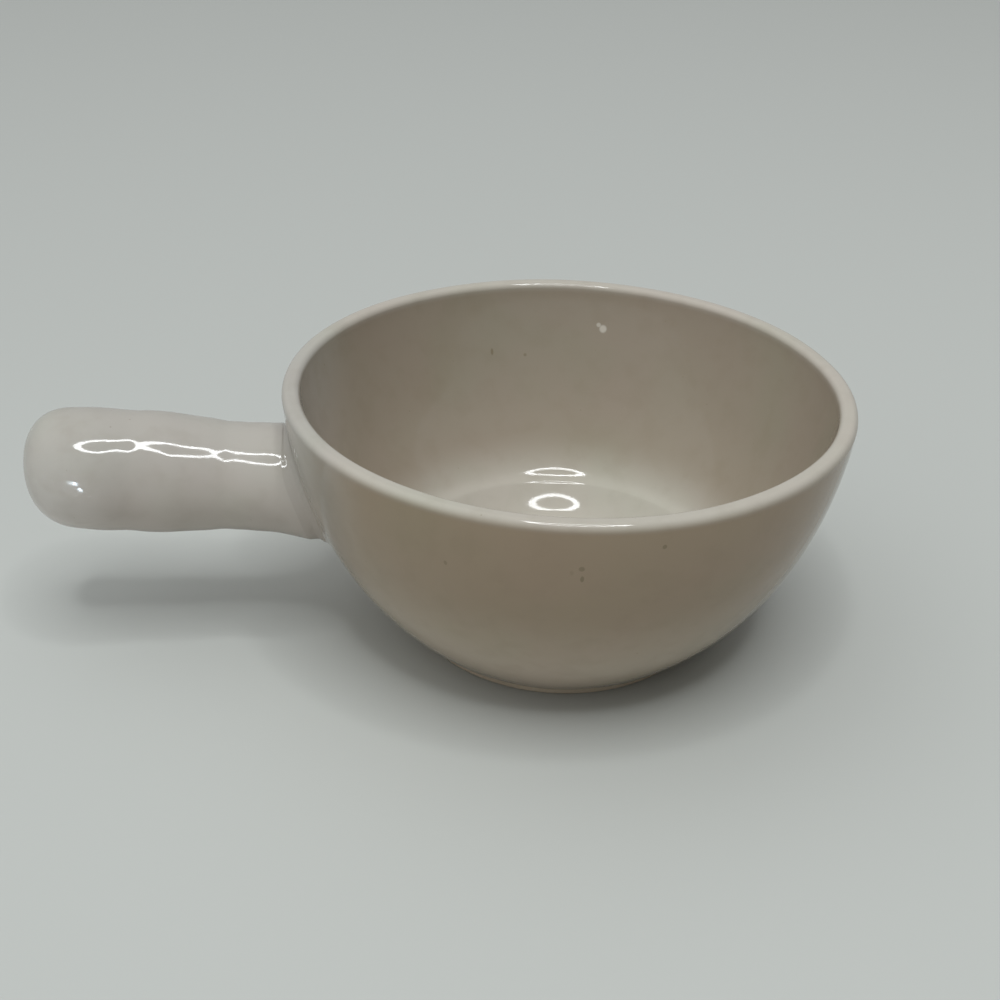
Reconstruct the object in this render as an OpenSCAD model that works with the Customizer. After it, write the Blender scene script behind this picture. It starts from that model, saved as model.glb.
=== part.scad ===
// A lug soup bowl: a stoneware bowl with one hollow stick handle luted to its wall.
// Millimetres, +Z up. The origin is the centre of the foot ring, on the surface it rests on.
// The handle points along -X. Outside sizes include the glaze.

/* [Bowl] */
// Outside diameter of the rim
rim_d = 127; // [118:0.5:140]
// Height from the table to the top of the lip
bowl_h = 61.2; // [56:0.2:72]
// Lean of the wall just under the lip, from upright, in degrees
wall_lean = 5; // [2:0.5:9]
// Slope of the wall where it meets the foot, from level, in degrees
base_slope = 40; // [34:1:46]
// Thickness of the lip
lip_t = 4; // [3.6:0.1:5.4]
// Radius of the two edges of the lip
lip_edge_r = 1.5; // [1:0.1:1.7]
// Thickness of the floor over the foot well
floor_t = 6; // [4.5:0.1:8]
// Diameter of the flat middle of the floor
floor_d = 52; // [44:1:58]

/* [Foot] */
// Diameter of the bowl at the glaze line, where it overhangs the foot ring
base_d = 71.4; // [70.4:0.2:76]
// Outside diameter of the foot ring
foot_d = 69; // [64:0.5:70]
// Width of the foot ring
foot_w = 5.5; // [4:0.1:8]
// Height of the foot ring's bare side, up to the glaze line
foot_h = 2.4; // [1.6:0.1:3.4]
// Depth of the well inside the foot ring
well_h = 2.2; // [1.4:0.1:3]
// Radius of the foot ring's rubbed edges
foot_edge_r = 0.8; // [0.4:0.1:1.2]

/* [Handle] */
// Reach of the handle past the rim, along the handle
handle_reach = 57.3; // [48:0.2:70]
// Rise of the handle, from level, in degrees
handle_rise = 4.9; // [0:0.1:8]
// Drop from the top of the lip to the handle's axis, where it would cross the bowl's axis
handle_drop = 28.3; // [26:0.1:31]
// Diameter of the handle at its waist
waist_d = 24.4; // [20:0.2:28]
// Diameter of the handle at its fullest
bulge_d = 27.4; // [24:0.2:32]
// Diameter that the flare at the root would reach inside the wall
root_d = 31.4; // [28:0.2:34]
// Distance from the rim, back along the handle, to the widest of the flare
root_in = 14; // [13:0.5:16]
// Distance from the rim, along the handle, to the waist
waist_out = 9.5; // [6:0.5:16]
// Distance from the rim, along the handle, to the fullest place
bulge_out = 38; // [30:0.5:44]
// Length of the rounded end
end_l = 11.4; // [10:0.2:13]
// Thickness of the clay in the hollow handle
handle_wall = 5; // [3.5:0.1:6.5]
// Diameter of the vent hole under the handle
vent_d = 3; // [2:0.1:4]
// Distance from the rim, along the handle, to the vent hole
vent_out = 10; // [7:0.5:14]

/* [Joint and glaze] */
// Thickness of the slip that joins the handle to the wall
slip_t = 1.2; // [0.8:0.1:2]
// Height of the bead of slip round the root, over the handle's clay
bead_h = 0.9; // [0.7:0.1:1.4]
// Thickness of the glaze
glaze_t = 0.5; // [0.3:0.05:0.7]

/* [Hidden] */

clay_colour = [0.78, 0.72, 0.62];
slip_colour = [0.84, 0.80, 0.72];
glaze_colour = [0.89, 0.86, 0.79];

// How far the wall's outline keeps its direction at its two ends, as shares of its height
wall_pull_shares = [0.31, 0.45];
// The same for the inside, as shares of its height and of its width outside the flat floor
inside_pull_shares = [0.1, 0.66];
// How far a cutting shape runs past what it cuts
overrun = 1;
// Steps along each curve, and facets round a full turn
wall_steps = 16;
edge_steps = 6;
flare_steps = 5;
swell_steps = 8;
end_steps = 9;
$fn = 96;

rim_r = rim_d / 2;
base_r = base_d / 2;
foot_r = foot_d / 2;
well_r = foot_r - foot_w;
floor_r = floor_d / 2;
floor_h = well_h + floor_t;

// Centres of the lip's outer and inner edges
lip_out = [rim_r - lip_edge_r, bowl_h - lip_edge_r];
lip_in = [rim_r - lip_t + lip_edge_r, bowl_h - lip_edge_r];

// Height of the handle's axis at the bowl's axis, and distances along the handle from there
handle_h = bowl_h - handle_drop;
root_at = rim_r - root_in;
waist_at = rim_r + waist_out;
bulge_at = rim_r + bulge_out;
vent_at = rim_r + vent_out;
tip_at = rim_r + handle_reach;

// The outside of the wall, from the lip down to the glaze line
wall_down = -[sin(wall_lean), cos(wall_lean)];
wall_top = lip_out + lip_edge_r * [cos(wall_lean), -sin(wall_lean)];
wall_foot = [base_r, foot_h];
wall_pulls = wall_pull_shares * (wall_top[1] - foot_h);
wall_points = [
    wall_top,
    wall_top + wall_pulls[0] * wall_down,
    wall_foot + wall_pulls[1] * [cos(base_slope), sin(base_slope)],
    wall_foot
];

// The inside, from the lip down to the edge of the flat floor
inside_top = lip_in + lip_edge_r * [-cos(wall_lean), sin(wall_lean)];
inside_foot = [floor_r, floor_h];
inside_points = [
    inside_top,
    inside_top + inside_pull_shares[0] * (inside_top[1] - floor_h) * wall_down,
    inside_foot + [inside_pull_shares[1] * (inside_top[0] - floor_r), 0],
    inside_foot
];

// The point, and the direction, at share s of a curve that four points steer
function curve_point(p, s) =
    pow(1 - s, 3) * p[0] + 3 * s * pow(1 - s, 2) * p[1] + 3 * s * s * (1 - s) * p[2] + pow(s, 3) * p[3];
function curve_way(p, s) =
    pow(1 - s, 2) * (p[1] - p[0]) + 2 * s * (1 - s) * (p[2] - p[1]) + s * s * (p[3] - p[2]);
function left_of(way) = [-way[1], way[0]] / norm(way);

// A curve moved a distance to the left of its direction
function curve(p, steps, left) =
    [for (k = [0:steps]) curve_point(p, k / steps) + left * left_of(curve_way(p, k / steps))];
// An arc about a centre, from one angle to another
function arc(centre, r, from, to) =
    [for (k = [0:edge_steps]) let (a = from + (to - from) * k / edge_steps)
        centre + r * [cos(a), sin(a)]];
function reversed(list) = [for (k = [len(list) - 1:-1:0]) list[k]];
function tail(list) = [for (k = [1:len(list) - 1]) list[k]];

// The outside of the wall, moved out from its glazed surface
function wall_line(out) = curve(wall_points, wall_steps, out);

// The lip and the inside, as far as the bowl's axis, moved in under the glazed surface
function lining(deep) = concat(
    arc(lip_out, lip_edge_r - deep, -wall_lean, 90),
    arc(lip_in, lip_edge_r - deep, 90, 180 - wall_lean),
    tail(curve(inside_points, wall_steps, deep)),
    [[0, floor_h - deep]]
);

// The clay's underside, from the middle of the foot well out to the side of the foot ring
foot_line = concat(
    [[0, well_h], [well_r - foot_edge_r, well_h]],
    arc([well_r + foot_edge_r, foot_edge_r], foot_edge_r, 180, 270),
    arc([foot_r - foot_edge_r, foot_edge_r], foot_edge_r, 270, 360)
);

// The handle's outline as [radius, distance along its axis], moved in under its glazed surface
function handle_line(deep) = concat(
    [for (k = [0:flare_steps]) let (s = 1 - k / flare_steps)
        [(waist_d + (root_d - waist_d) * s * s) / 2 - deep, waist_at - s * (waist_at - root_at)]],
    [for (k = [1:swell_steps]) let (s = k / swell_steps, swell = s * s * (3 - 2 * s))
        [(waist_d + (bulge_d - waist_d) * swell) / 2 - deep, waist_at + s * (bulge_at - waist_at)]],
    [for (k = [0:end_steps]) let (a = 90 * k / end_steps)
        [(bulge_d / 2 - deep) * cos(a), tip_at - end_l + (end_l - deep) * sin(a)]]
);

// Puts what is drawn up the Z axis in the handle's place
module on_handle() {
    translate([0, 0, handle_h])
        rotate([0, handle_rise - 90, 0])
            children();
}

// The bowl as a full solid, out to a surface beside its glazed wall
module bowl_block(out) {
    rotate_extrude()
        polygon(concat(
            [[0, foot_h], [0, bowl_h + overrun], [wall_line(out)[0][0], bowl_h + overrun]],
            wall_line(out)
        ));
}

// The handle as a full solid, in to a surface under its glazed one and back to the bowl's axis
module handle_block(deep) {
    on_handle()
        rotate_extrude()
            polygon(concat([[0, 0], [root_d / 2 - deep, 0]], handle_line(deep)));
}

// The vent's bore, from the middle of the handle down
module vent() {
    on_handle()
        translate([0, 0, vent_at])
            rotate([0, -90, 0])
                cylinder(h = bulge_d / 2 + overrun, d = vent_d);
}

// The fired clay bowl, with its wall, floor, lip and bare foot ring
module bowl_body() {
    color(clay_colour)
        rotate_extrude()
            polygon(concat(foot_line, reversed(wall_line(-glaze_t)), tail(lining(glaze_t))));
}

// The hollow clay handle, open at the root, where its end follows the wall
module handle_body() {
    color(clay_colour)
        difference() {
            handle_block(glaze_t);
            handle_block(glaze_t + handle_wall);
            bowl_block(slip_t - glaze_t);
            vent();
        }
}

// The slip between the handle's open end and the wall, with its bead standing proud all round
module joint_slip() {
    color(slip_colour)
        difference() {
            intersection() {
                handle_block(glaze_t - bead_h);
                bowl_block(slip_t - glaze_t);
            }
            handle_block(glaze_t + handle_wall);
            bowl_block(-glaze_t);
        }
}

// The coat over the inside and the lip
module inner_glaze() {
    color(glaze_colour)
        rotate_extrude()
            polygon(concat(lining(0), reversed(lining(glaze_t))));
}

// The coat over the outside of the wall, open where the handle is joined on
module outer_glaze() {
    color(glaze_colour)
        difference() {
            rotate_extrude()
                polygon(concat(wall_line(0), reversed(wall_line(-glaze_t))));
            handle_block(glaze_t - bead_h);
        }
}

// The coat over the handle, from the slip's bead to the tip
module handle_glaze() {
    color(glaze_colour)
        difference() {
            handle_block(0);
            handle_block(glaze_t);
            bowl_block(slip_t - glaze_t);
            vent();
        }
}

// The coat over the clay inside the foot ring
module foot_well_glaze() {
    color(glaze_colour)
        translate([0, 0, well_h - glaze_t])
            cylinder(h = glaze_t, r = well_r - foot_edge_r);
}

bowl_body();
handle_body();
joint_slip();
inner_glaze();
outer_glaze();
handle_glaze();
foot_well_glaze();
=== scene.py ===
import math

import bmesh
import bpy
import numpy as np
from mathutils import Matrix, Vector


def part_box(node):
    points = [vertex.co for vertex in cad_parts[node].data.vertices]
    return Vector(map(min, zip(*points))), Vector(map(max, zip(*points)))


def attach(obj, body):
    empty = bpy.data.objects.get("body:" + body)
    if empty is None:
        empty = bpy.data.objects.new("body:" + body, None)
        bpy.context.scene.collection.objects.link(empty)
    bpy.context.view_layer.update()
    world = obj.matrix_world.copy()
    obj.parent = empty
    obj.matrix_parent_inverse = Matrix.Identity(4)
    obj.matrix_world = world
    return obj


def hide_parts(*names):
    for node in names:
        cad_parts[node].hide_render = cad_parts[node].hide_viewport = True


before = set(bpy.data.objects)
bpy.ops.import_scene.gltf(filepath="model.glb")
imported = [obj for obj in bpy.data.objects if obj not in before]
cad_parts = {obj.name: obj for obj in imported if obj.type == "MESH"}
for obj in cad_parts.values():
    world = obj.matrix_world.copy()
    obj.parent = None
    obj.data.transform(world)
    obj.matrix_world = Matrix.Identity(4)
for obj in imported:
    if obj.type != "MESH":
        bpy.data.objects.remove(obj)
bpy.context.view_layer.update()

# Sizes in metres, in the frame's own axes: +Z up, the handle along -X, the foot ring on Z 0
bowl_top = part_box("inner_glaze")[1]
well_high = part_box("foot_well_glaze")[1]
RIM_R = bowl_top.x
BOWL_H = bowl_top.z
WALL_LEAN = math.radians(5)
BASE_SLOPE = math.radians(40)
LIP_T = 0.0040
LIP_EDGE_R = 0.0015
FLOOR_T = 0.0060
FLOOR_R = 0.0260
BASE_R = 0.0357
FOOT_R = 0.0345
FOOT_H = 0.0024
FOOT_EDGE_R = 0.0008
WELL_H = well_high.z
WELL_R = well_high.x
GLAZE_T = 0.0005
WALL_PULL_SHARES = (0.31, 0.45)
INSIDE_PULL_SHARES = (0.1, 0.66)

# A soft step round the inside, as [distance from the bowl's axis, change of the inside's slope]
STEP_SLOPES = np.array([
    [0.0310, 0.0],
    [0.0317, 0.310],
    [0.0326, 0.325],
    [0.0336, 0.360],
    [0.0346, 0.415],
    [0.0353, 0.440],
    [0.0359, 0.435],
    [0.0364, 0.400],
    [0.0371, 0.335],
    [0.0375, -0.190],
    [0.0382, -0.250],
    [0.0388, -0.255],
    [0.0394, -0.185],
    [0.0400, -0.060],
    [0.0406, 0.025],
    [0.0420, -0.015],
    [0.0435, -0.090],
    [0.0450, -0.135],
    [0.0470, -0.225],
    [0.0500, -0.225],
    [0.0540, 0.0],
])

# The handle, as distances along its axis from the bowl's axis
HANDLE_H = 0.0329
HANDLE_RISE = math.radians(4.9)
VENT_AT = 0.0735
HANDLE_WALL = 0.0050
VENT_R = 0.0015
SLIP_OUT = 0.0007
# Every line beside the handle's axis meets the wall somewhere between these distances
ROOT_BETWEEN = (0.02, 0.09)
# The handle's uneven, slightly oval shape: distance along its axis, mean radius, and how much more
# than that the radius is at OVAL_TURN from the top, and less at right angles to it
HANDLE_SHAPE = np.array([
    [0.0580, 0.01405, -0.00050],
    [0.0620, 0.01325, -0.00045],
    [0.0655, 0.01275, -0.00045],
    [0.0690, 0.01260, -0.00040],
    [0.0720, 0.01245, -0.00035],
    [0.0745, 0.01232, -0.00020],
    [0.0770, 0.01225, -0.00010],
    [0.0795, 0.01250, 0.0],
    [0.0825, 0.01280, 0.0],
    [0.0860, 0.01312, 0.0],
    [0.0890, 0.01334, 0.00010],
    [0.0920, 0.01331, 0.00030],
    [0.0945, 0.01320, 0.00040],
    [0.0970, 0.01310, 0.00035],
    [0.1000, 0.01335, 0.00015],
    [0.1030, 0.01365, -0.00005],
    [0.1060, 0.01370, -0.00015],
    [0.1090, 0.01355, -0.00020],
])
OVAL_TURN = math.radians(10)
# The rounded end: where it begins, its length, how full its outline is, and how much further it
# reaches at its top than on the axis for each metre of height
END_AT = 0.1082
END_L = 0.0121
END_FULLNESS = 2.4
END_SLANT = 0.096
SLANT_FROM = 0.0975

# The joint round the handle's root, each at its top, at its sides and underneath: how far its
# crest stands from the wall and out from the handle, how far the slip runs up the handle, and how
# far it spreads over the wall past the crest
CREST_OUT = (0.0005, 0.0008, 0.0021)
CREST_H = (0.0003, 0.0006, 0.0003)
BAND_L = (0.0013, 0.0045, 0.0040)
FILLET_L = (0.0012, 0.0026, 0.0016)
# A shallow hollow in the slip beside its crest: its depth, and how far out from the crest it lies
DIP = 0.00022
DIP_OUT = 0.0008
# Where the fillet bends: a share of the crest's distance from the wall, and a share of the fillet
FILLET_NEAR_SHARE = 0.3
FILLET_RISE_SHARE = 0.25
# How much of the lines before and after each corner of the joint's outline is rounded off
CORNER_SHARES = ((0.6, 0.45), (0.35, 0.5), (0.5, 0.85))
# How uneven the crest and the band are round the root: share, waves to a turn, shift
CREST_WAVES = ((0.07, 3, 0.6), (0.05, 7, 2.1))
BAND_WAVES = ((0.05, 2, 1.1), (0.03, 5, 0.3))

# How far the bowl's surfaces sink here and there from their true shape, in and down, and how long
# a wave of this is
SINK_SIDE = 0.00020
SINK_TOP = 0.00014
SINK_LENGTH = 0.034
# The distances over which this sets in: from the handle's side of the rim, and from the axis or
# the table; nearer to the axis than SINK_NEAR it fades to nothing
SINK_FADE = 0.03
SINK_FULL = 0.026
SINK_NEAR = 0.006
# The waves that make it up: how many, between which shares of a plain one their number to a metre
# lies, and how softly their sum is limited
WAVES = 7
WAVE_SHARES = (0.6, 1.3)
WAVE_SOFTNESS = 2.6
SIDE_SEED = 3
TOP_SEED = 8

# The wall's glaze: the part of its grid that opens round the handle, from top to bottom and to
# each side, and the low roll in which it ends over the foot
WINDOW_HIGH = 0.0572
WINDOW_LOW = 0.0145
WINDOW_HALF_DEGREES = 26
ROLL_H = 0.0022
ROLL_OUT = 0.00012
# How much of the coat's thickness, and of the roll's height, is rounded off at its lower edge
ROLL_ROUND_SHARE = 0.9
ROLL_EDGE_SHARE = 0.25
# The grid round the vent opens this many times as far out as the vent itself
VENT_WINDOW = 2.5
# The bevelled edge of the coat inside the foot ring: its width and its drop
WELL_EDGE = 0.0006
WELL_EDGE_DROP = 0.00012

# Steps round the bowl and the handle, fewer for the clay and the well, and the angle from which an
# edge is a true corner
TURNS = 288
CLAY_TURNS = 192
HANDLE_TURNS = 144
HANDLE_CLAY_TURNS = 96
CORNER_ANGLE = math.radians(50)
# Rows down the wall's glaze, rings between an opened window and the hole at the root or the vent,
# and steps along the handle's neck for its coat and for its clay
WALL_ROWS = 81
ROOT_RINGS = 16
VENT_RINGS = 4
COAT_STEPS = 16
HANDLE_CLAY_STEPS = 10
# How finely the wall and the soft step are sampled, how often a search halves its span, and how
# often the radius at the root is corrected
WALL_SAMPLES = 2001
STEP_SAMPLES = 2301
HALVINGS = 40
CORRECTIONS = 8


def smooth_step(share):
    share = np.clip(share, 0, 1)
    return share * share * (3 - 2 * share)


def curve_point(p, s):
    """The points at shares s of a curve that four points steer."""
    s = np.asarray(s, float)[:, None]
    return (1 - s) ** 3 * p[0] + 3 * s * (1 - s) ** 2 * p[1] + 3 * s * s * (1 - s) * p[2] + s ** 3 * p[3]


def curve_way(p, s):
    """The directions at shares s of that curve."""
    s = np.asarray(s, float)[:, None]
    way = (1 - s) ** 2 * (p[1] - p[0]) + 2 * s * (1 - s) * (p[2] - p[1]) + s * s * (p[3] - p[2])
    return way / np.linalg.norm(way, axis=1)[:, None]


def moved_curve(p, shares, left):
    """A curve moved to the left of its direction, as [radius, height]."""
    way = curve_way(p, shares)
    return curve_point(p, shares) + np.asarray(left) * np.stack([-way[:, 1], way[:, 0]], 1)


def arc(centre, radius, start, end, steps):
    angles = np.radians(np.linspace(start, end, steps + 1))
    return np.asarray(centre) + radius * np.stack([np.cos(angles), np.sin(angles)], 1)


# The outlines of the wall and of the inside, the same as the solids have
lean_way = np.array([math.cos(WALL_LEAN), -math.sin(WALL_LEAN)])
wall_down = -np.array([math.sin(WALL_LEAN), math.cos(WALL_LEAN)])
lip_out = np.array([RIM_R - LIP_EDGE_R, BOWL_H - LIP_EDGE_R])
lip_in = np.array([RIM_R - LIP_T + LIP_EDGE_R, BOWL_H - LIP_EDGE_R])
wall_top = lip_out + LIP_EDGE_R * lean_way
wall_foot = np.array([BASE_R, FOOT_H])
wall_span = wall_top[1] - FOOT_H
WALL = np.array([
    wall_top,
    wall_top + WALL_PULL_SHARES[0] * wall_span * wall_down,
    wall_foot + WALL_PULL_SHARES[1] * wall_span * np.array([math.cos(BASE_SLOPE), math.sin(BASE_SLOPE)]),
    wall_foot,
])
floor_h = WELL_H + FLOOR_T
inside_top = lip_in - LIP_EDGE_R * lean_way
inside_foot = np.array([FLOOR_R, floor_h])
INSIDE = np.array([
    inside_top,
    inside_top + INSIDE_PULL_SHARES[0] * (inside_top[1] - floor_h) * wall_down,
    inside_foot + np.array([INSIDE_PULL_SHARES[1] * (inside_top[0] - FLOOR_R), 0]),
    inside_foot,
])

fine_shares = np.linspace(0, 1, WALL_SAMPLES)
wall_fine = curve_point(WALL, fine_shares)[::-1]
wall_way_fine = curve_way(WALL, fine_shares)[::-1]

axis_way = np.array([-math.cos(HANDLE_RISE), 0, math.sin(HANDLE_RISE)])
axis_up = np.array([math.sin(HANDLE_RISE), 0, math.cos(HANDLE_RISE)])
axis_side = np.array([0.0, 1.0, 0.0])
axis_start = np.array([0, 0, HANDLE_H])


def wall_normal(points):
    """The wall's outward directions at points on it."""
    slope_r = np.interp(points[:, 2], wall_fine[:, 1], wall_way_fine[:, 0])
    slope_z = np.interp(points[:, 2], wall_fine[:, 1], wall_way_fine[:, 1])
    around = points[:, :2] / np.linalg.norm(points[:, :2], axis=1)[:, None]
    return np.column_stack([around * -slope_z[:, None], slope_r])


def from_axis(along, radius, turn):
    """Points at distances along and out from the handle's axis; turn 0 is up, half a turn is down."""
    along, radius, turn = np.broadcast_arrays(along, radius, turn)
    out = np.cos(turn)[..., None] * axis_up + np.sin(turn)[..., None] * axis_side
    return axis_start + along[..., None] * axis_way + radius[..., None] * out


def to_axis(points):
    """The handle's own coordinates of points: along, radius and turn."""
    local = points - axis_start
    up = local @ axis_up
    side = local @ axis_side
    return local @ axis_way, np.hypot(up, side), np.arctan2(side, up)


def wall_along(radius, turn, out=0.0):
    """Where lines beside the handle's axis meet the wall, or a surface a little outside it."""
    radius, turn = np.broadcast_arrays(np.asarray(radius, float), np.asarray(turn, float))
    low = np.full(radius.shape, ROOT_BETWEEN[0])
    high = np.full(radius.shape, ROOT_BETWEEN[1])
    for _ in range(HALVINGS):
        middle = (low + high) / 2
        points = from_axis(middle, radius, turn).reshape(-1, 3)
        wall_r = np.interp(points[:, 2], wall_fine[:, 1], wall_fine[:, 0])
        rise = np.interp(points[:, 2], wall_fine[:, 1], -wall_way_fine[:, 1])
        inside = (np.hypot(points[:, 0], points[:, 1]) < wall_r + out / rise).reshape(radius.shape)
        low = np.where(inside, middle, low)
        high = np.where(inside, high, middle)
    return (low + high) / 2


def knot_bends(at, values):
    """How fast the slopes of the smooth lines through knots change at each of them."""
    gap = np.diff(at)
    slopes = np.diff(values, axis=0) / gap[:, None]
    system = np.eye(len(at))
    change = np.zeros(values.shape)
    for k in range(1, len(at) - 1):
        system[k, k - 1:k + 2] = [gap[k - 1], 2 * (gap[k - 1] + gap[k]), gap[k]]
        change[k] = 6 * (slopes[k] - slopes[k - 1])
    return np.linalg.solve(system, change)


shape_at = HANDLE_SHAPE[:, 0]
shape_values = HANDLE_SHAPE[:, 1:]
shape_bends = knot_bends(shape_at, shape_values)


def shank_radius(along, turn):
    """The handle's radius before its end is rounded, smooth through all the knots."""
    along, turn = np.broadcast_arrays(along, turn)
    along = np.clip(along, shape_at[0], shape_at[-1])
    k = np.clip(np.searchsorted(shape_at, along) - 1, 0, len(shape_at) - 2)
    gap = shape_at[k + 1] - shape_at[k]
    on = ((along - shape_at[k]) / gap)[..., None]
    off = 1 - on
    bend = (off ** 3 - off) * shape_bends[k] + (on ** 3 - on) * shape_bends[k + 1]
    values = off * shape_values[k] + on * shape_values[k + 1] + bend * gap[..., None] ** 2 / 6
    return values[..., 0] + values[..., 1] * np.cos(2 * (turn - OVAL_TURN))


def handle_radius(along, turn, deep=0.0):
    """The handle's radius, or that of a surface deeper in it."""
    end_share = np.clip((along - END_AT) / (END_L - deep), 0, 1)
    return (shank_radius(along, turn) - deep) * (1 - end_share ** END_FULLNESS) ** (1 / END_FULLNESS)


def handle_points(along, turn, deep=0.0):
    """The handle's surface, with its end slanted so that the top reaches further than the underside."""
    radius = handle_radius(along, turn, deep)
    slanted = smooth_step((along - SLANT_FROM) / (END_AT - SLANT_FROM))
    return from_axis(along + END_SLANT * slanted * radius * np.cos(turn), radius, turn)


def wander(points, seed):
    """A smooth value from 0 to 1 that wanders through space."""
    draw = np.random.default_rng(seed)
    total = np.zeros(len(points))
    for _ in range(WAVES):
        way = draw.normal(size=3)
        way *= draw.uniform(*WAVE_SHARES) * 2 * math.pi / (SINK_LENGTH * np.linalg.norm(way))
        total += np.sin(points @ way + draw.uniform(0, 2 * math.pi))
    return 0.5 + 0.5 * np.tanh(total / WAVE_SOFTNESS)


def sink(points):
    """Moves points in a little from the true shape, by an amount that wanders over the bowl."""
    radius = np.hypot(points[:, 0], points[:, 1])
    middle = np.minimum(radius / SINK_FULL, 1) ** 2
    on_bowl = smooth_step((points[:, 0] + RIM_R) / SINK_FADE)
    high = np.clip(points[:, 2] / SINK_FULL, 0, 1) ** 2
    scale = SINK_SIDE * wander(points, SIDE_SEED) * middle * on_bowl / np.maximum(radius, SINK_NEAR)
    drop = SINK_TOP * wander(points, TOP_SEED) * high * on_bowl
    return points - np.column_stack([scale * points[:, 0], scale * points[:, 1], drop])


def make_piece(name, points, faces, material, node):
    """A closed mesh in the place of one solid, smooth but for its true corners."""
    mesh = bpy.data.meshes.new(name)
    mesh.from_pydata(sink(points).tolist(), [], faces)
    work = bmesh.new()
    work.from_mesh(mesh)
    bmesh.ops.recalc_face_normals(work, faces=work.faces)
    work.to_mesh(mesh)
    work.free()
    mesh.polygons.foreach_set("use_smooth", [True] * len(mesh.polygons))
    mesh.set_sharp_from_angle(angle=CORNER_ANGLE)
    mesh.materials.append(material)
    piece = bpy.data.objects.new(name, mesh)
    bpy.context.scene.collection.objects.link(piece)
    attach(piece, "root")
    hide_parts(node)


def turned(outline, turns=TURNS):
    """The points and faces of an outline that starts and ends on the bowl's axis, turned about it."""
    rings = outline[1:-1]
    turn = np.linspace(0, 2 * math.pi, turns, endpoint=False)
    radius = rings[:, 0][:, None]
    height = np.broadcast_to(rings[:, 1][:, None], (len(rings), turns))
    points = np.stack([radius * np.cos(turn), radius * np.sin(turn), height], 2).reshape(-1, 3)
    first, last = len(points), len(points) + 1
    points = np.vstack([points, [0, 0, outline[0, 1]], [0, 0, outline[-1, 1]]])
    faces = []
    for j in range(turns):
        n = (j + 1) % turns
        faces.append((first, j, n))
        top = (len(rings) - 1) * turns
        faces.append((last, top + n, top + j))
        for i in range(len(rings) - 1):
            a = i * turns
            faces.append((a + j, a + turns + j, a + turns + n, a + n))
    return points, faces


def holed_grid(grid, window, rings, reach):
    """A grid of places whose columns close round, with a window of its cells opened to a hole.

    The window's middle is column 0. reach(places, share) gives the places at a share of the way
    from the window's border to the hole. Returns the places, the faces and the border of the hole.
    """
    rows, cols = grid.shape[:2]
    top, bottom, half = window

    def at(i, j):
        return i * cols + j % cols

    faces = []
    for i in range(rows - 1):
        for j in range(cols):
            in_window = top <= i < bottom and (j < half or j >= cols - half)
            if not in_window:
                faces.append((at(i, j), at(i + 1, j), at(i + 1, j + 1), at(i, j + 1)))
    border = [at(top, j) for j in range(-half, half)]
    border += [at(i, half) for i in range(top, bottom)]
    border += [at(bottom, j) for j in range(half, -half, -1)]
    border += [at(i, -half) for i in range(bottom, top, -1)]
    places = grid.reshape(rows * cols, -1)
    edge = places[border]
    all_places = [places]
    outer = border
    count = len(places)
    for k in range(1, rings + 1):
        all_places.append(reach(edge, k / rings))
        ring = list(range(count, count + len(border)))
        count += len(border)
        for m in range(len(border)):
            n = (m + 1) % len(border)
            faces.append((outer[m], outer[n], ring[n], ring[m]))
        outer = ring
    return np.vstack(all_places), faces, outer


def shell(outside, inside, faces, rims):
    """A closed shell from two skins with the same faces, joined along the rims of both."""
    count = len(outside)
    closed = list(faces) + [tuple(count + i for i in face[::-1]) for face in faces]
    for rim in rims:
        for a, b in zip(rim, rim[1:] + rim[:1]):
            closed.append((a, b, count + b, count + a))
    return np.vstack([outside, inside]), closed


step_fine = np.linspace(STEP_SLOPES[0, 0], STEP_SLOPES[-1, 0], STEP_SAMPLES)
step_slope_fine = np.interp(step_fine, STEP_SLOPES[:, 0], STEP_SLOPES[:, 1])
step_lift_fine = np.cumsum(step_slope_fine) * (step_fine[1] - step_fine[0])
step_lift_fine -= step_lift_fine[-1] * np.linspace(0, 1, len(step_fine))


def step_height(radius):
    """How much the soft step lifts the inside, by its distance from the bowl's axis."""
    return np.interp(radius, step_fine, step_lift_fine)


def lining(deep, arc_steps, wall_steps, floor_steps):
    """The lip and the inside, from the outer edge of the lip to the bowl's axis."""
    lean = math.degrees(WALL_LEAN)
    inner = moved_curve(INSIDE, np.linspace(0, 1, wall_steps + 1), deep)
    inner[:, 1] += step_height(inner[:, 0])
    floor = np.column_stack([
        np.linspace(inner[-1, 0], 0, floor_steps + 1),
        np.full(floor_steps + 1, floor_h - deep),
    ])
    return np.vstack([
        arc(lip_out, LIP_EDGE_R - deep, -lean, 90, arc_steps),
        arc(lip_in, LIP_EDGE_R - deep, 90, 180 - lean, arc_steps),
        inner[1:],
        floor[1:],
    ])


def make_bowl_clay(material):
    foot = np.vstack([
        [[0, WELL_H], [WELL_R / 2, WELL_H], [WELL_R, WELL_H]],
        arc([WELL_R + 2 * FOOT_EDGE_R, FOOT_EDGE_R], FOOT_EDGE_R, 180, 270, 8),
        arc([FOOT_R - FOOT_EDGE_R, FOOT_EDGE_R], FOOT_EDGE_R, 270, 360, 8),
        [[FOOT_R, FOOT_H]],
    ])
    wall = moved_curve(WALL, np.linspace(1, 0, 49), -GLAZE_T)
    inside = lining(deep=GLAZE_T, arc_steps=6, wall_steps=48, floor_steps=3)
    outline = np.vstack([foot, wall, inside[1:]])
    points, faces = turned(outline, CLAY_TURNS)
    make_piece("bowl_clay", points, faces, material, "bowl_body")


def make_glaze_inside(material):
    visible = lining(deep=0, arc_steps=12, wall_steps=260, floor_steps=8)
    hidden = lining(deep=GLAZE_T, arc_steps=6, wall_steps=36, floor_steps=3)
    points, faces = turned(np.vstack([visible[::-1], hidden]))
    make_piece("glaze_inside", points, faces, material, "inner_glaze")


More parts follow.
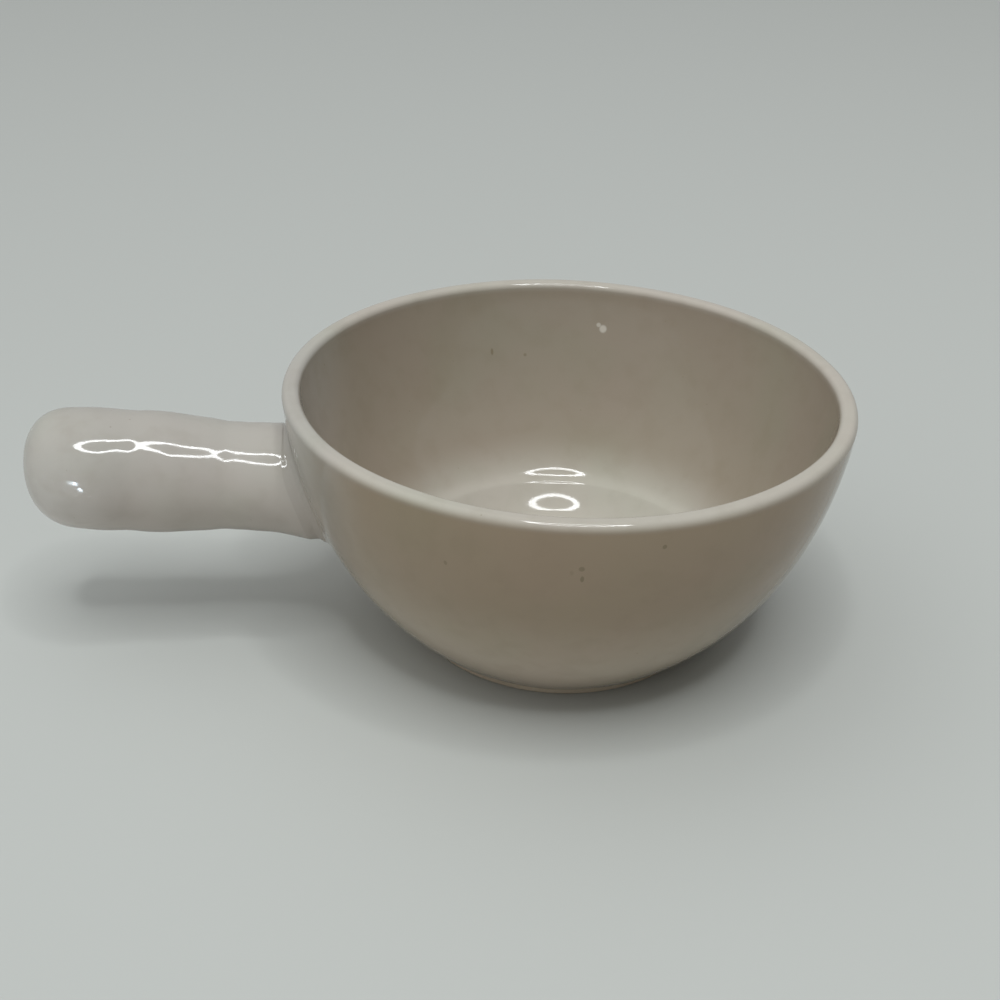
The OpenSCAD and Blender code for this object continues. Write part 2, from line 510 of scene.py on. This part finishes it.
def round_root(turn, values):
    """A size round the handle's root, from its values at the top, at the sides and underneath."""
    top, side, low = values
    up = np.cos(turn)
    return top * np.clip(up, 0, 1) ** 2 + side * np.sin(turn) ** 2 + low * np.clip(-up, 0, 1) ** 2


def uneven(turn, waves):
    """A factor about 1 that changes a little round the root."""
    factor = 1
    for share, count, shift in waves:
        factor = factor + share * np.sin(count * turn + shift)
    return factor


def crest_height(turn):
    """How far the joint's crest stands out from the handle, a little uneven round the root."""
    return round_root(turn, CREST_H) * uneven(turn, CREST_WAVES)


def band_length(turn):
    """How far the smoothed slip runs up the handle from the wall."""
    return round_root(turn, BAND_L) * uneven(turn, BAND_WAVES)


def root_radius(turn):
    """The handle's radius where its surface would meet the wall."""
    radius = np.full(np.shape(turn), HANDLE_SHAPE[0, 1])
    for _ in range(CORRECTIONS):
        radius = handle_radius(wall_along(radius, turn), turn)
    return radius


def hole_radius(turn):
    """The edge of the wall's glaze round the handle, where the slip's fillet ends."""
    return root_radius(turn) + crest_height(turn) + round_root(turn, FILLET_L)


def coat_start(turn):
    """Where the handle's own coat begins, past the slip's band."""
    return wall_along(root_radius(turn), turn) + band_length(turn)


def make_glaze_outside(material):
    outline = curve_point(WALL, np.linspace(0, 1, WALL_ROWS))
    turn = math.pi - np.linspace(0, 2 * math.pi, TURNS, endpoint=False)
    radius = outline[:, 0][:, None]
    height = np.broadcast_to(outline[:, 1][:, None], (WALL_ROWS, TURNS))
    grid = np.stack([radius * np.cos(turn), radius * np.sin(turn), height], 2)
    window_top = int(np.argmin(np.abs(outline[:, 1] - WINDOW_HIGH)))
    window_bottom = int(np.argmin(np.abs(outline[:, 1] - WINDOW_LOW)))

    def reach(places, share):
        _, radius, turn = to_axis(places)
        share = share * (2 - share)
        radius = radius + (hole_radius(turn) - radius) * share
        return from_axis(wall_along(radius, turn), radius, turn)

    window = (window_top, window_bottom, TURNS * WINDOW_HALF_DEGREES // 360)
    skin, faces, hole = holed_grid(grid, window, ROOT_RINGS, reach)
    normal = wall_normal(skin)
    # The glaze gathers in a low roll over the glaze line and rounds off there
    near_foot = np.clip((skin[:, 2] - FOOT_H) / ROLL_H, 0, 1)
    roll = ROLL_OUT * np.sin(np.pi * near_foot) ** 2
    past_edge = np.clip(near_foot / ROLL_EDGE_SHARE, 0, 1)
    rounded = GLAZE_T * ROLL_ROUND_SHARE * (1 - np.sqrt(1 - (1 - past_edge) ** 2))
    outside = skin + normal * (roll - rounded)[:, None]
    inside = skin - normal * GLAZE_T
    top = list(range(TURNS))
    bottom = [(WALL_ROWS - 1) * TURNS + j for j in range(TURNS)]
    points, faces = shell(outside, inside, faces, [top, bottom, hole])
    make_piece("glaze_outside", points, faces, material, "outer_glaze")


def handle_skin(start, deep, turns, steps):
    """The places of a skin of the handle as [along, turn], its faces, and its root and vent rims."""
    turn = math.pi + np.linspace(0, 2 * math.pi, turns, endpoint=False)
    straight_at = VENT_AT - VENT_WINDOW * VENT_R
    neck = [start + (straight_at - start) * k / steps for k in range(steps)]
    shank = np.linspace(straight_at, END_AT, 6 * steps)
    end_turn = np.linspace(0, math.pi / 2, 3 * steps)[1:-1]
    cap = END_AT + (END_L - deep) * np.sin(end_turn) ** (2 / END_FULLNESS)
    along = neck + [np.full(turns, a) for a in np.concatenate([shank, cap])]
    grid = np.stack([np.array(along), np.broadcast_to(turn, (len(along), turns))], 2)
    rows = len(along)
    top = steps
    bottom = steps + int(np.argmin(np.abs(shank - (VENT_AT + VENT_WINDOW * VENT_R))))
    half = VENT_WINDOW * VENT_R / shank_radius(VENT_AT, math.pi) * turns / (2 * math.pi)
    half = max(2, round(half))

    def reach(places, share):
        radius = handle_radius(places[:, 0], math.pi, deep)
        side = radius * np.sin(places[:, 1] - math.pi)
        ahead = places[:, 0] - VENT_AT
        size = np.hypot(side, ahead)
        scale = 1 + (VENT_R / size - 1) * share
        along = VENT_AT + ahead * scale
        around = math.pi + np.arcsin(side * scale / handle_radius(along, math.pi, deep))
        return np.stack([along, around], 1)

    places, faces, vent = holed_grid(grid, (top, bottom, half), VENT_RINGS, reach)
    tip = len(places)
    places = np.vstack([places, [END_AT + END_L - deep, 0]])
    last = (rows - 1) * turns
    faces += [(last + j, tip, last + (j + 1) % turns) for j in range(turns)]
    return places, faces, [list(range(turns)), vent]


def make_handle(name, start, deeps, turns, steps, material, node):
    """A shell of the handle between two depths under its surface."""
    turn = math.pi + np.linspace(0, 2 * math.pi, turns, endpoint=False)
    skins = []
    for deep in deeps:
        places, faces, rims = handle_skin(start(turn, deep), deep, turns, steps)
        skins.append(handle_points(places[:, 0], places[:, 1], deep))
    points, faces = shell(skins[0], skins[1], faces, rims)
    make_piece(name, points, faces, material, node)


def make_handle_coat(material):
    def start(turn, deep):
        return coat_start(turn)

    make_handle("handle_coat", start, (0.0, GLAZE_T), HANDLE_TURNS, COAT_STEPS,
                material, "handle_glaze")


def make_handle_clay(material):
    def start(turn, deep):
        return wall_along(root_radius(turn) - deep, turn, SLIP_OUT)

    make_handle("handle_clay", start, (GLAZE_T, GLAZE_T + HANDLE_WALL), HANDLE_CLAY_TURNS,
                HANDLE_CLAY_STEPS, material, "handle_body")


def rounded_line(corners, shares, steps):
    """Lines through corners, each inner one rounded over a share of the piece before and after it."""
    line = [corners[..., 0, :]]
    for k, (before, after) in enumerate(shares, 1):
        corner = corners[..., k, :]
        back = before * (corners[..., k - 1, :] - corner)
        on = after * (corners[..., k + 1, :] - corner)
        for s in np.linspace(0, 1, steps + 1):
            line.append(corner + (1 - s) ** 2 * back + s ** 2 * on)
    line.append(corners[..., -1, :])
    return np.stack(line, -2)


def make_joint_bead(material):
    """The slip between the handle and the wall: a smoothed band, a crest, a fillet and what is behind."""
    turn = math.pi + np.linspace(0, 2 * math.pi, HANDLE_TURNS, endpoint=False)
    root = root_radius(turn)
    band = band_length(turn)
    crest_at = round_root(turn, CREST_OUT)
    crest = crest_height(turn)
    fillet = round_root(turn, FILLET_L)
    zero = np.zeros(HANDLE_TURNS)
    corners = np.stack([
        np.stack([band, zero], 1),
        np.stack([crest_at + np.minimum(DIP_OUT, 0.5 * (band - crest_at)), zero - DIP], 1),
        np.stack([crest_at, crest], 1),
        np.stack([FILLET_NEAR_SHARE * crest_at, crest + FILLET_RISE_SHARE * fillet], 1),
        np.stack([zero, crest + fillet], 1),
    ], 1)
    shape = rounded_line(corners, CORNER_SHARES, 8)
    start = wall_along(root, turn)[:, None]
    turns = np.broadcast_to(turn[:, None], shape.shape[:2])
    radius = handle_radius(start + shape[..., 0], turns) + shape[..., 1]
    on_wall = wall_along(radius, turns) - start
    along = start + shape[..., 0] + on_wall * (1 - shape[..., 0] / band[:, None])
    bore = root - GLAZE_T - HANDLE_WALL
    hidden = [
        (wall_along(radius[:, -1], turn, -GLAZE_T), radius[:, -1]),
        (wall_along(bore, turn, -GLAZE_T), bore),
        (wall_along(bore, turn, SLIP_OUT), bore),
        (wall_along(root - GLAZE_T, turn, SLIP_OUT), root - GLAZE_T),
        (along[:, 0], radius[:, 0] - GLAZE_T),
    ]
    along = np.column_stack([along] + [a for a, _ in hidden])
    radius = np.column_stack([radius] + [r for _, r in hidden])
    count = along.shape[1]
    points = from_axis(along, radius, turn[:, None]).reshape(-1, 3)
    faces = []
    for j in range(HANDLE_TURNS):
        n = (j + 1) % HANDLE_TURNS
        for i in range(count):
            k = (i + 1) % count
            faces.append((j * count + i, j * count + k, n * count + k, n * count + i))
    make_piece("joint_bead", points, faces, material, "joint_slip")


def make_foot_well_coat(material):
    outline = np.vstack([
        [[0, WELL_H - GLAZE_T], [WELL_R, WELL_H - GLAZE_T]],
        [[WELL_R, WELL_H - WELL_EDGE_DROP], [WELL_R - WELL_EDGE, WELL_H]],
        [[WELL_R / 2, WELL_H], [0, WELL_H]],
    ])
    points, faces = turned(outline, CLAY_TURNS)
    make_piece("foot_well_coat", points, faces, material, "foot_well_glaze")


def add_node(tree, kind, values=None, **settings):
    """A shader node with its settings, its inputs given as values or joined to other nodes."""
    made = tree.nodes.new("ShaderNode" + kind)
    for name, setting in settings.items():
        setattr(made, name, setting)
    for name, value in (values or {}).items():
        if isinstance(value, bpy.types.NodeSocket):
            tree.links.new(value, made.inputs[name])
        else:
            made.inputs[name].default_value = value
    return made


def noise(tree, place, scale, detail, seed=0.0):
    """A cloudy value about 0.5, with scale waves to a metre."""
    moved = add_node(tree, "VectorMath", {0: place, 1: (seed, seed, seed)}, operation="ADD")
    values = {"Vector": moved.outputs[0], "Scale": scale, "Detail": detail}
    return add_node(tree, "TexNoise", values).outputs[0]


def ramp(tree, value, start, end, low=0.0, high=1.0):
    """A value brought smoothly from low to high while another goes from start to end."""
    values = {"Value": value, "From Min": start, "From Max": end, "To Min": low, "To Max": high}
    return add_node(tree, "MapRange", values, interpolation_type="SMOOTHSTEP").outputs[0]


def patches(tree, place, pattern, low=0.0, high=1.0):
    """Cloudy patches of one of the patterns below, brought smoothly from low to high."""
    scale, detail, seed, start, end = pattern
    return ramp(tree, noise(tree, place, scale, detail, seed), start, end, low, high)


def calculate(tree, operation, first, second):
    return add_node(tree, "Math", {0: first, 1: second}, operation=operation).outputs[0]


def dot_product(tree, first, second):
    return add_node(tree, "VectorMath", {0: first, 1: second}, operation="DOT_PRODUCT").outputs["Value"]


def mix_colours(tree, share, first, second):
    """A colour between two others, each a linear colour or another node's output."""
    made = add_node(tree, "Mix", {0: share}, data_type="RGBA")
    for slot, colour in ((6, first), (7, second)):
        if isinstance(colour, bpy.types.NodeSocket):
            tree.links.new(colour, made.inputs[slot])
        else:
            made.inputs[slot].default_value = (*colour, 1)
    return made.outputs[2]


def multiply_colours(tree, first, second):
    """Two colours, or two sets of three values, multiplied with each other."""
    return add_node(tree, "VectorMath", {0: first, 1: second}, operation="MULTIPLY").outputs[0]


def new_material(name):
    """An empty material, its node tree, its shader and the place of each point on the object."""
    material = bpy.data.materials.new(name)
    material.use_nodes = True
    tree = material.node_tree
    shader = tree.nodes["Principled BSDF"]
    place = add_node(tree, "TexCoord").outputs["Object"]
    return material, tree, shader, place


def spot_share(tree, place, centre, half_sizes):
    """1 in the middle half of a small soft spot and 0 outside the spot."""
    offset = add_node(tree, "VectorMath", {0: place, 1: centre}, operation="SUBTRACT").outputs[0]
    across, high = half_sizes
    scaled = multiply_colours(tree, offset, (1 / across, 1 / across, 1 / high))
    size = add_node(tree, "VectorMath", {0: scaled}, operation="LENGTH").outputs["Value"]
    return ramp(tree, size, 0.5, 1.0, 1.0, 0.0)


def random_specks(tree, place, kind):
    """Small round specks strewn through a material, up to the strength that their kind gives."""
    scale, share, size, strength = kind
    cells = add_node(tree, "TexVoronoi", {"Vector": place, "Scale": scale})
    pick = add_node(tree, "SeparateColor", {0: cells.outputs["Color"]})
    speck = ramp(tree, cells.outputs["Distance"], SPECK_CORE_SHARE * size, size, 1.0, 0.0)
    chosen = ramp(tree, pick.outputs[0], 1 - share, 1 - SPECK_CORE_SHARE * share)
    return calculate(tree, "MULTIPLY", calculate(tree, "MULTIPLY", speck, chosen), strength)


# The glaze's colours, with light and shade painted in by place, and between which heights, radii or
# places one gives way to the next
# Painted light and shade on the outside wall: paler low down, as if lit by light bounced up from the
# table, and darker and warmer higher up, as if in shade
OUTSIDE_LOW_PAINTED_BOUNCE = (0.520, 0.438, 0.340)
OUTSIDE_HIGH_PAINTED_SHADE = (0.335, 0.258, 0.175)
OUTSIDE_SHADE_FADE = (0.008, 0.040)
# Painted light and shade inside: a pale painted sheen low inside, where overhead light reflects, and
# painted shade on the inside wall
BOTTOM_PAINTED_SHEEN = (0.480, 0.450, 0.385)
INSIDE_WALL_PAINTED_SHADE = (0.322, 0.276, 0.214)
BOTTOM_SHEEN_FADE = (0.037, 0.047)
# Painted light on the lip: paler where its top catches and reflects the light from above
LIP_PAINTED_LIGHT = (0.465, 0.430, 0.370)
LIP_LIGHT_FADE = (BOWL_H - 0.0026, BOWL_H - 0.0002)
# Painted light on the handle: paler underneath, as if lit by light bounced from the table, and more
# neutral than the bowl, as if lit by cool light from the left; it gives way to the bowl's colours near
# the root
HANDLE_LOW_PAINTED_BOUNCE = (0.510, 0.455, 0.405)
HANDLE_HIGH_PAINTED_COOL_LIGHT = (0.425, 0.405, 0.362)
HANDLE_BOUNCE_FADE = (HANDLE_H, HANDLE_H + 0.02)
ROOT_PAINTED_LIGHT_FADE = (0.001 - RIM_R, 0.018 - RIM_R)
# The radius times the outward share of the surface's direction from which it counts as outside
OUTWARD = 0.015
# How the mottling tints the glaze, and how much darker it is over the joint's slip
PINK = (1.0, 0.975, 0.985)
GREEN = (0.975, 1.0, 0.98)
SLIP_SHARE = 0.93
CLAY = (0.60, 0.50, 0.38)
CLAY_DARK = (0.47, 0.37, 0.26)
# Specks that the glaze has, and below them a painted reflection: centre, half sizes across and up, and
# how strongly each one shows
DARK_SPECKS = (
    ((-0.0112, 0.0544, 0.0442), (0.0005, 0.0016), 0.70),
    ((-0.0024, 0.0552, 0.0430), (0.0006, 0.0006), 0.55),
    ((-0.0315, -0.0531, 0.0477), (0.0005, 0.0008), 0.50),
    ((-0.0064, -0.0621, 0.0509), (0.0008, 0.0008), 0.65),
    ((-0.0061, -0.0616, 0.0483), (0.0005, 0.0011), 0.75),
    ((-0.0082, -0.0617, 0.0498), (0.0005, 0.0009), 0.25),
    ((0.0091, -0.0624, 0.0555), (0.0006, 0.0007), 0.70),
)
# A painted reflection of a small lamp: a pale spot high on the inside wall at the back
PAINTED_REFLECTION_SPOTS = (
    ((0.0178, 0.0546, 0.0502), (0.0012, 0.0013), 0.50),
    ((0.0166, 0.0549, 0.0512), (0.0008, 0.0008), 0.40),
)
SPECK_BROWN = (0.20, 0.155, 0.09)
# The colour of that painted reflection
PAINTED_REFLECTION_COLOUR = (0.80, 0.76, 0.68)
# Specks strewn at random: places for one to a metre, share of them taken, size, strength
GLAZE_SPECKS = (240, 0.30, 0.065, 0.35)
CLAY_SPECKS = (420, 0.35, 0.09, 0.5)
# How much of a speck, from its middle, shows in full
SPECK_CORE_SHARE = 0.4
# Cloudy patterns: waves to a metre, detail, seed, and from which value to which a patch comes in
GLAZE_CLOUDS = (26, 2.0, 3.1, 0.38, 0.66)
GLAZE_POOLS = (38, 2.0, 7.7, 0.46, 0.70)
GLAZE_GRAIN = (170, 3.0, 0.0, 0.42, 0.75)
GLAZE_SHEEN = (60, 2.0, 1.3, 0.3, 0.7)
CLAY_CLOUDS = (45, 3.0, 0.0, 0.35, 0.70)
CLAY_GRIT = (1100, 2.0, 0.0, 0.45, 0.75)
CLAY_RUB = (120, 2.0, 0.0, 0.3, 0.7)
GRAIN_STRENGTH = 0.10
GRIT_STRENGTH = 0.35
# Between which values each roughness wanders, and how strongly the glaze bends light
GLAZE_ROUGHNESS = (0.055, 0.085)
CLAY_ROUGHNESS = (0.72, 0.86)
GLAZE_IOR = 1.46
# Fine unevenness of the surfaces: waves to a metre, detail, height
SKIN = (210, 1.0, 0.000012)
RIPPLE = (700, 1.0, 0.000002)
CLAY_GRAIN = (1100, 2.0, 0.00004)


def glaze_colour_with_painted_light(tree, place):
    """The glaze's colour by its place, with light and shade painted in: warm and shaded on the walls,
    paler where light falls on the lip, the handle and low inside.
    """
    axes = add_node(tree, "SeparateXYZ", {0: place}).outputs
    flat = add_node(tree, "CombineXYZ", {"X": axes["X"], "Y": axes["Y"]}).outputs[0]
    radius = add_node(tree, "VectorMath", {0: flat}, operation="LENGTH").outputs["Value"]
    facing = add_node(tree, "NewGeometry").outputs["Normal"]
    outside = ramp(tree, dot_product(tree, facing, flat), 0.0, OUTWARD)
    # Painted bounce light low on the outside wall and painted shade higher up
    outer = mix_colours(tree, ramp(tree, axes["Z"], *OUTSIDE_SHADE_FADE), OUTSIDE_LOW_PAINTED_BOUNCE, OUTSIDE_HIGH_PAINTED_SHADE)
    # A painted sheen low inside and painted shade on the inside wall
    inner = mix_colours(tree, ramp(tree, radius, *BOTTOM_SHEEN_FADE), BOTTOM_PAINTED_SHEEN, INSIDE_WALL_PAINTED_SHADE)
    tint = mix_colours(tree, outside, inner, outer)
    # Painted light on the lip
    tint = mix_colours(tree, ramp(tree, axes["Z"], *LIP_LIGHT_FADE), tint, LIP_PAINTED_LIGHT)
    # Painted light on the handle, paler underneath and more neutral than the bowl
    handle = mix_colours(tree, ramp(tree, axes["Z"], *HANDLE_BOUNCE_FADE), HANDLE_LOW_PAINTED_BOUNCE, HANDLE_HIGH_PAINTED_COOL_LIGHT)
    return mix_colours(tree, ramp(tree, axes["X"], *ROOT_PAINTED_LIGHT_FADE, 1.0, 0.0), tint, handle)


def bump(tree, place, relief):
    """A fine unevenness of the surface."""
    scale, detail, height = relief
    return add_node(tree, "Bump", {"Height": noise(tree, place, scale, detail), "Distance": height})


def make_glaze(name, share):
    """Glossy glaze with light and shade painted into its colour by place, soft mottling, specks, a
    painted reflection spot and a very faintly uneven surface.
    """
    material, tree, shader, place = new_material(name)
    tint = multiply_colours(tree, glaze_colour_with_painted_light(tree, place), (share,) * 3)
    for pattern, veil in ((GLAZE_CLOUDS, PINK), (GLAZE_POOLS, GREEN)):
        veiled = mix_colours(tree, patches(tree, place, pattern), (1, 1, 1), veil)
        tint = multiply_colours(tree, tint, veiled)
    tint = mix_colours(tree, patches(tree, place, GLAZE_GRAIN, 0.0, GRAIN_STRENGTH), tint, SPECK_BROWN)
    tint = mix_colours(tree, random_specks(tree, place, GLAZE_SPECKS), tint, SPECK_BROWN)
    # The dark specks are the glaze's own; the pale spot is a painted reflection of a small lamp
    for specks, speck_colour in ((DARK_SPECKS, SPECK_BROWN), (PAINTED_REFLECTION_SPOTS, PAINTED_REFLECTION_COLOUR)):
        for centre, half_sizes, strength in specks:
            spot = calculate(tree, "MULTIPLY", spot_share(tree, place, centre, half_sizes), strength)
            tint = mix_colours(tree, spot, tint, speck_colour)
    tree.links.new(tint, shader.inputs["Base Color"])
    tree.links.new(patches(tree, place, GLAZE_SHEEN, *GLAZE_ROUGHNESS), shader.inputs["Roughness"])
    shader.inputs["IOR"].default_value = GLAZE_IOR
    skin = bump(tree, place, SKIN)
    ripple = bump(tree, place, RIPPLE)
    tree.links.new(skin.outputs[0], ripple.inputs["Normal"])
    tree.links.new(ripple.outputs[0], shader.inputs["Normal"])
    return material


def make_clay(name):
    """Bare fired stoneware, fine and matt."""
    material, tree, shader, place = new_material(name)
    tint = mix_colours(tree, patches(tree, place, CLAY_CLOUDS), CLAY, CLAY_DARK)
    tint = mix_colours(tree, patches(tree, place, CLAY_GRIT, 0.0, GRIT_STRENGTH), tint, CLAY_DARK)
    tint = mix_colours(tree, random_specks(tree, place, CLAY_SPECKS), tint, SPECK_BROWN)
    tree.links.new(tint, shader.inputs["Base Color"])
    tree.links.new(patches(tree, place, CLAY_RUB, *CLAY_ROUGHNESS), shader.inputs["Roughness"])
    tree.links.new(bump(tree, place, CLAY_GRAIN).outputs[0], shader.inputs["Normal"])
    return material


glaze = make_glaze("ivory_glaze", 1.0)
slip_glaze = make_glaze("joining_slip", SLIP_SHARE)
clay = make_clay("stoneware_clay")

make_bowl_clay(clay)
make_glaze_inside(glaze)
make_glaze_outside(glaze)
make_handle_clay(clay)
make_handle_coat(glaze)
make_joint_bead(slip_glaze)
make_foot_well_coat(glaze)

# The camera stands where the photograph was taken
CAMERA_AT = Vector((-0.0506, -0.2870, 0.1954))
CAMERA_YAW = math.radians(7.15)
CAMERA_PITCH = math.radians(29.62)
CAMERA_ROLL = math.radians(1.94)
CAMERA_LENS = 51.6
CAMERA_SENSOR = 36
CAMERA_NEAR = 0.01

# The floor, the sky and the lamps
FLOOR_HALF = 3.0
FLOOR_COLOUR = (0.50, 0.51, 0.485)
FLOOR_ROUGHNESS = 0.55
BACKDROP_COLOUR = (0.42, 0.42, 0.41)
HORIZON_LEVEL = 0.12
ZENITH_LEVEL = 1.23
SKY_FOCUS = 2.8
# The way that the sky's light mostly comes from, and how much it leans that way
SKY_WAY = Vector((-1, 0, 0))
SKY_LEAN = 0.9
# Low soft light from the left and a little from the front, and how strong it is
SIDE_WAY = Vector((-0.86, -0.46, 0.22)).normalized()
SIDE_LEVEL = 0.23
SIDE_FOCUS = 2.0
SKY_COLOUR = (0.95, 0.985, 1.0)
LAMP_COLOUR = (0.95, 0.985, 1.0)
RING_WAY = Vector((0.01, -0.325, 0.946)).normalized()
RING_AT = 1.5
RING_R = 0.30
RING_WIDTH = 0.09
RING_LAMPS = 24
RING_POWER = 11.2
# Two small cool lamps near the handle's end, which shows them as one bright spot
SPOT_TARGET = Vector((-0.118, -0.010, 0.040))
SPOT_LAMPS = (Vector((-0.139, -0.157, 0.043)), Vector((-0.135, -0.159, 0.013)))
SPOT_SIZE = (0.007, 0.023)
SPOT_POWER = 0.00026
SPOT_SPREAD = math.radians(16)
SPOT_COLOUR = (0.75, 0.88, 1.0)


def make_camera():
    ahead = Vector((
        math.sin(CAMERA_YAW) * math.cos(CAMERA_PITCH),
        math.cos(CAMERA_YAW) * math.cos(CAMERA_PITCH),
        -math.sin(CAMERA_PITCH),
    ))
    level_right = Vector((math.cos(CAMERA_YAW), -math.sin(CAMERA_YAW), 0))
    level_up = level_right.cross(ahead)
    right = math.cos(CAMERA_ROLL) * level_right + math.sin(CAMERA_ROLL) * level_up
    up = -math.sin(CAMERA_ROLL) * level_right + math.cos(CAMERA_ROLL) * level_up
    data = bpy.data.cameras.new("camera")
    data.lens = CAMERA_LENS
    data.sensor_width = CAMERA_SENSOR
    data.clip_start = CAMERA_NEAR
    camera = bpy.data.objects.new("camera", data)
    camera.matrix_world = Matrix((
        (right.x, up.x, -ahead.x, CAMERA_AT.x),
        (right.y, up.y, -ahead.y, CAMERA_AT.y),
        (right.z, up.z, -ahead.z, CAMERA_AT.z),
        (0, 0, 0, 1),
    ))
    bpy.context.scene.collection.objects.link(camera)
    bpy.context.scene.camera = camera


def make_floor():
    mesh = bpy.data.meshes.new("floor")
    corners = [(x * FLOOR_HALF, y * FLOOR_HALF, 0) for x, y in ((-1, -1), (1, -1), (1, 1), (-1, 1))]
    mesh.from_pydata(corners, [], [(0, 1, 2, 3)])
    material = bpy.data.materials.new("floor")
    material.use_nodes = True
    shader = material.node_tree.nodes["Principled BSDF"]
    shader.inputs["Base Color"].default_value = (*FLOOR_COLOUR, 1)
    shader.inputs["Roughness"].default_value = FLOOR_ROUGHNESS
    mesh.materials.append(material)
    floor = bpy.data.objects.new("floor", mesh)
    bpy.context.scene.collection.objects.link(floor)


def make_sky():
    """Soft light, strongest from straight above, with a plain pale backdrop behind everything."""
    world = bpy.data.worlds.new("sky")
    world.use_nodes = True
    tree = world.node_tree
    way = add_node(tree, "TexCoord").outputs["Generated"]
    height = add_node(tree, "SeparateXYZ", {0: way}).outputs["Z"]
    above = calculate(tree, "MAXIMUM", height, 0.0)
    level = calculate(tree, "POWER", above, SKY_FOCUS)
    level = calculate(tree, "MULTIPLY", level, ZENITH_LEVEL - HORIZON_LEVEL)
    level = calculate(tree, "ADD", level, HORIZON_LEVEL)
    lean = dot_product(tree, way, SKY_LEAN * SKY_WAY)
    level = calculate(tree, "MULTIPLY", level, calculate(tree, "ADD", lean, 1.0))
    side = calculate(tree, "MAXIMUM", dot_product(tree, way, SIDE_WAY), 0.0)
    side = calculate(tree, "POWER", side, SIDE_FOCUS)
    level = calculate(tree, "ADD", level, calculate(tree, "MULTIPLY", side, SIDE_LEVEL))
    light = tree.nodes["Background"]
    light.inputs["Color"].default_value = (*SKY_COLOUR, 1)
    tree.links.new(level, light.inputs["Strength"])
    backdrop = add_node(tree, "Background", {"Color": (*BACKDROP_COLOUR, 1), "Strength": 1.0})
    rays = add_node(tree, "LightPath").outputs
    seen = calculate(tree, "MAXIMUM", rays["Is Camera Ray"], rays["Is Glossy Ray"])
    seen = calculate(tree, "MAXIMUM", seen, rays["Is Transmission Ray"])
    both = add_node(tree, "MixShader", {0: seen, 1: light.outputs[0], 2: backdrop.outputs[0]})
    tree.links.new(both.outputs[0], tree.nodes["World Output"].inputs["Surface"])
    bpy.context.scene.world = world


def make_lamp(name, place, target, size, power, colour, across=None, spread=math.pi):
    """A flat lamp that faces a target; across is the way that its width runs."""
    data = bpy.data.lights.new(name, "AREA")
    data.shape = "RECTANGLE"
    data.size, data.size_y = size
    data.energy = power
    data.color = colour
    data.spread = spread
    lamp = bpy.data.objects.new(name, data)
    back = (place - target).normalized()
    width = (across or Vector((0, 0, 1)).cross(back)).normalized()
    height = back.cross(width)
    lamp.matrix_world = Matrix((
        (width.x, height.x, back.x, place.x),
        (width.y, height.y, back.y, place.y),
        (width.z, height.z, back.z, place.z),
        (0, 0, 0, 1),
    ))
    lamp.visible_camera = False
    bpy.context.scene.collection.objects.link(lamp)


def make_ring_lamp():
    """A round ring lamp overhead, made up of short straight lamps."""
    side = RING_WAY.cross(Vector((0, 1, 0))).normalized()
    front = RING_WAY.cross(side)
    length = 2 * math.pi * RING_R / RING_LAMPS
    for k in range(RING_LAMPS):
        turn = 2 * math.pi * k / RING_LAMPS
        out = math.cos(turn) * side + math.sin(turn) * front
        along = math.cos(turn) * front - math.sin(turn) * side
        place = RING_AT * RING_WAY + RING_R * out
        make_lamp(f"ring_{k:02d}", place, place - RING_WAY, (length, RING_WIDTH),
                  RING_POWER / RING_LAMPS, LAMP_COLOUR, along)


make_camera()
make_floor()
make_sky()
make_ring_lamp()
for k, place in enumerate(SPOT_LAMPS):
    make_lamp(f"spot_{k}", place, SPOT_TARGET, SPOT_SIZE, SPOT_POWER, SPOT_COLOUR, spread=SPOT_SPREAD)
bpy.context.scene.view_settings.view_transform = "Standard"
